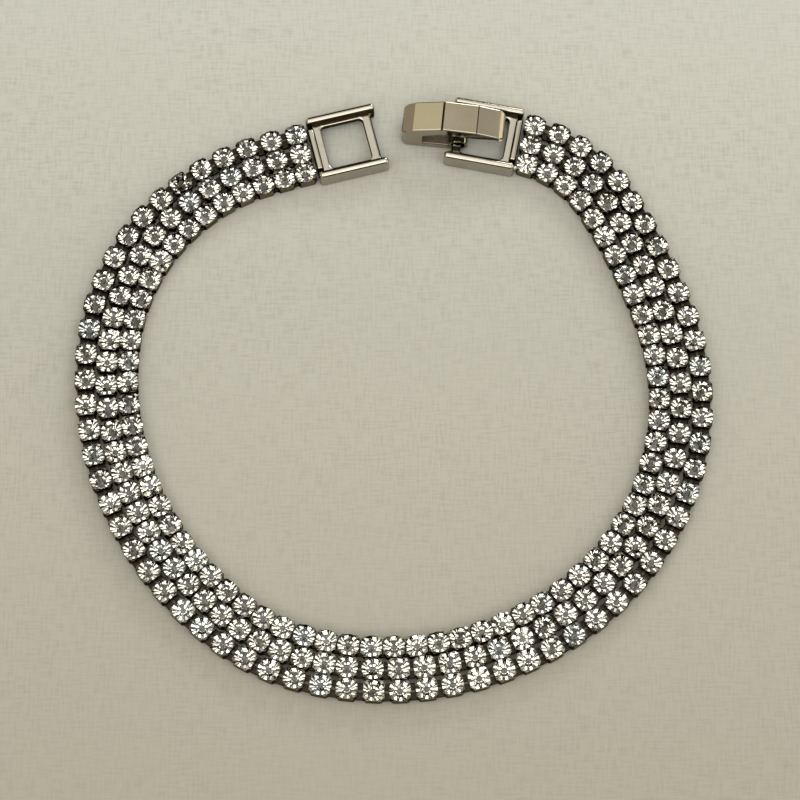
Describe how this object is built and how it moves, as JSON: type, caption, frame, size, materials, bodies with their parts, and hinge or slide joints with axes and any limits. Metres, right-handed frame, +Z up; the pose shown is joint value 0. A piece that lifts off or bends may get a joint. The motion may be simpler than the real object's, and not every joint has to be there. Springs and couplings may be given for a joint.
{
  "type": "rhinestone cup-chain bracelet",
  "caption": "Flexible band of linked square cups with round clear stones, lying open, its ends held by cast frames with a fold-over lever clasp.",
  "frame": {"origin": "middle of the footprint, on the surface that the bracelet lies on", "axes": "+Z up out of the surface; +Y from the middle towards the clasp; +X from the catch frame's side towards the hinge frame's side"},
  "size_m": [0.0686, 0.068, 0.005],
  "materials": {
    "cup_metal": "bright silver-tone plating",
    "clasp_metal": "polished silver-tone plating",
    "crystal": "clear cut glass with a foiled back"
  },
  "bodies": {
    "band": {"strand_outer": "cup_metal", "strand_middle": "cup_metal", "strand_inner": "cup_metal", "catch_frame": "clasp_metal", "hinge_frame": "clasp_metal"},
    "lever": {"clasp_lever": "clasp_metal"}
  },
  "joints": [
    {"name": "lever_hinge", "type": "hinge", "parent": "band", "child": "lever", "pos_m": [0.00731, 0.03023, 0.00115], "axis": [-0.1908, -0.9816, 0], "range_deg": [-15, 135]}
  ]
}
